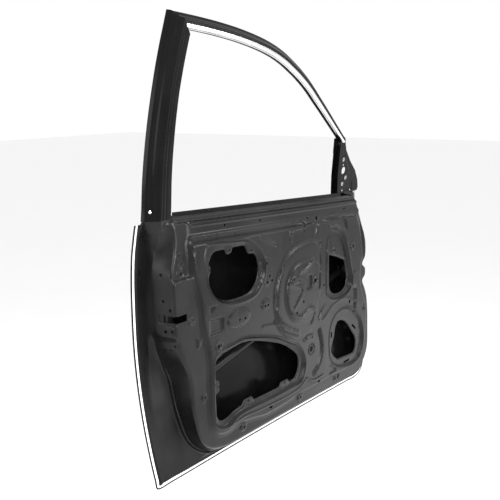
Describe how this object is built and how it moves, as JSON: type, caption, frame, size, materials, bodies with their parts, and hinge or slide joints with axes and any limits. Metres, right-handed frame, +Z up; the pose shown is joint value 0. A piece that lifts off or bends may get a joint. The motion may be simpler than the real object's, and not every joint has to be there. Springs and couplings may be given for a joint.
{
  "type": "car door shell",
  "caption": "Bare stamped steel shell of a left front car door with its window frame, access openings and inner reinforcements.",
  "frame": {"origin": "centre of the upper hinge face on the front wall of the inner panel", "axes": "+X to the front of the car, out of the hinge face; +Y out of the car; +Z up, the door hanging as on the car"},
  "size_m": [1.1494, 0.2108, 1.1784],
  "materials": {
    "black_coat": "satin black dip coat on stamped steel",
    "zinc_steel": "zinc plated steel",
    "mastic": "cured black mastic"
  },
  "bodies": {
    "root": {"inner_panel": "black_coat", "outer_panel": "black_coat", "rear_sash": "black_coat", "header_sash": "black_coat", "mirror_sail_panel": "black_coat", "division_channel": "black_coat", "belt_inner_reinforcement": "black_coat", "belt_outer_reinforcement": "black_coat", "side_impact_beam": "black_coat", "beam_front_bracket": "black_coat", "beam_rear_bracket": "black_coat", "upper_hinge_reinforcement": "black_coat", "lower_hinge_reinforcement": "black_coat", "check_link_reinforcement": "black_coat", "latch_reinforcement": "black_coat", "outer_handle_reinforcement": "black_coat", "rear_glass_channel": "black_coat", "rear_channel_bracket": "black_coat", "front_channel_bracket": "black_coat", "upper_hinge_tapping_plate": "zinc_steel", "lower_hinge_tapping_plate": "zinc_steel", "mirror_weld_nut_1": "zinc_steel", "mirror_weld_nut_2": "zinc_steel", "mirror_weld_nut_3": "zinc_steel", "mastic_pad_1": "mastic", "mastic_pad_2": "mastic", "mastic_pad_3": "mastic", "mastic_pad_4": "mastic"}
  },
  "joints": []
}
